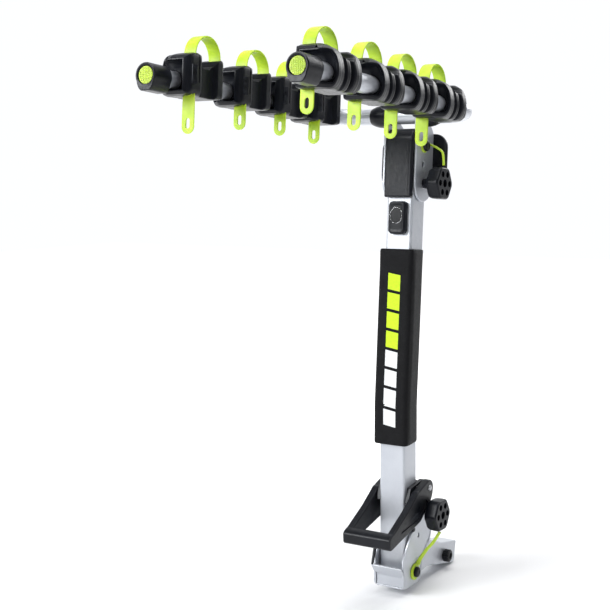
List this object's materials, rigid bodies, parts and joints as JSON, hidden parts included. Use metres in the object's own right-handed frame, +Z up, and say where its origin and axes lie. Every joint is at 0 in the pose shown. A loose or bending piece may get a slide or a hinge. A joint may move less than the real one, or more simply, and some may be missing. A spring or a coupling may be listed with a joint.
{
  "type": "hitch mounted bike rack",
  "caption": "Tilting mast on a hitch shank with a folding pair of arms, cradles with rubber straps, a release lever and lobed knobs.",
  "frame": {"origin": "Middle of the open end of the hitch shank.", "axes": "+Z up, +Y towards the car, +X to the side that carries the knobs."},
  "size_m": [0.374, 0.8749, 1.157],
  "materials": {
    "frame_silver": "satin silver powder coat with a fine metallic grain",
    "bare_steel": "plain zinc-plated steel, turned",
    "black_metal": "bluish black powder coat",
    "black_plastic": "charcoal moulded plastic with a fine texture",
    "lime_rubber": "smooth yellow-green rubber",
    "sleeve_foam": "dark foam with a woven skin and printed stripes",
    "chrome_trim": "polished"
  },
  "bodies": {
    "base": {"hitch_shank": "frame_silver", "yoke_plate_left": "frame_silver", "yoke_plate_right": "frame_silver", "yoke_front_wall": "frame_silver", "yoke_floor": "frame_silver", "hitch_bolt": "bare_steel", "lower_pivot_bolt": "bare_steel", "lower_pivot_cap": "black_plastic", "lower_tether": "lime_rubber", "wall_strut": "black_metal"},
    "hitch_knob": {"hitch_bolt_knob": "black_plastic"},
    "lower_pin": {"lower_lock_pin": "bare_steel"},
    "lower_knob_body": {"lower_knob": "black_plastic"},
    "mast_body": {"mast": "frame_silver", "foam_sleeve": "sleeve_foam", "badge_block": "black_plastic", "badge_rim": "chrome_trim", "head_cover": "black_plastic", "lever_bracket": "black_metal", "lever_pivot_pin": "bare_steel"},
    "lever": {"lever_handle": "black_plastic"},
    "latch": {"latch_pin": "black_metal"},
    "arms": {"head_plate_left": "frame_silver", "head_plate_right": "frame_silver", "rear_cover": "black_plastic", "left_cover": "black_plastic", "upper_pivot_bolt": "bare_steel", "upper_pivot_cap": "black_plastic", "upper_tether": "lime_rubber", "arm_frame": "frame_silver", "collar_left": "black_plastic", "collar_right": "black_plastic", "end_cap_left": "black_plastic", "end_cap_right": "black_plastic", "cap_insert_left": "lime_rubber", "cap_insert_right": "lime_rubber", "cradle_left_1": "black_plastic", "strap_left_1": "lime_rubber", "cradle_left_2": "black_plastic", "strap_left_2": "lime_rubber", "cradle_left_3": "black_plastic", "strap_left_3": "lime_rubber", "cradle_left_4": "black_plastic", "strap_left_4": "lime_rubber", "cradle_right_1": "black_plastic", "strap_right_1": "lime_rubber", "cradle_right_2": "black_plastic", "strap_right_2": "lime_rubber", "cradle_right_3": "black_plastic", "strap_right_3": "lime_rubber", "cradle_right_4": "black_plastic", "strap_right_4": "lime_rubber"},
    "upper_stud_body": {"upper_lock_stud": "bare_steel"},
    "upper_knob_body": {"upper_knob": "black_plastic"}
  },
  "joints": [
    {"name": "mast_tilt", "type": "hinge", "parent": "base", "child": "mast_body", "pos_m": [0, -0.2293, 0.02022], "axis": [1, 0, 0], "range_deg": [0, 35]},
    {"name": "arm_fold", "type": "hinge", "parent": "mast_body", "child": "arms", "pos_m": [0, -0.18882, 0.94035], "axis": [1, 0, 0], "range_deg": [0, 85]},
    {"name": "release_lever", "type": "hinge", "parent": "mast_body", "child": "lever", "pos_m": [0, -0.1943, 0.20122], "axis": [-1, 0, 0], "range_deg": [0, 30]},
    {"name": "latch_lift", "type": "slide", "parent": "mast_body", "child": "latch", "axis": [0, 0, 1], "range_m": [0, 0.012]},
    {"name": "lower_knob_turn", "type": "hinge", "parent": "lower_pin", "child": "lower_knob_body", "pos_m": [0.06, -0.1963, 0.14522], "axis": [1, 0, 0], "range_deg": [0, 1080]},
    {"name": "lower_pin_travel", "type": "slide", "parent": "base", "child": "lower_pin", "axis": [1, 0, 0], "range_m": [0, 0.006]},
    {"name": "upper_knob_turn", "type": "hinge", "parent": "upper_stud_body", "child": "upper_knob_body", "pos_m": [0.057, -0.18832, 0.86104], "axis": [1, 0, 0], "range_deg": [0, 1080]},
    {"name": "upper_stud_travel", "type": "slide", "parent": "arms", "child": "upper_stud_body", "axis": [1, 0, 0], "range_m": [0, 0.006]},
    {"name": "hitch_knob_turn", "type": "hinge", "parent": "base", "child": "hitch_knob", "pos_m": [0.0257, -0.05777, 0.00717], "axis": [1, 0, 0], "continuous": true}
  ],
  "couplings": [
    {"joint": "latch_lift", "follows": "release_lever", "m_per_rad": 0.02292},
    {"joint": "lower_pin_travel", "follows": "lower_knob_turn", "m_per_rad": 0.000318},
    {"joint": "upper_stud_travel", "follows": "upper_knob_turn", "m_per_rad": 0.000318}
  ]
}
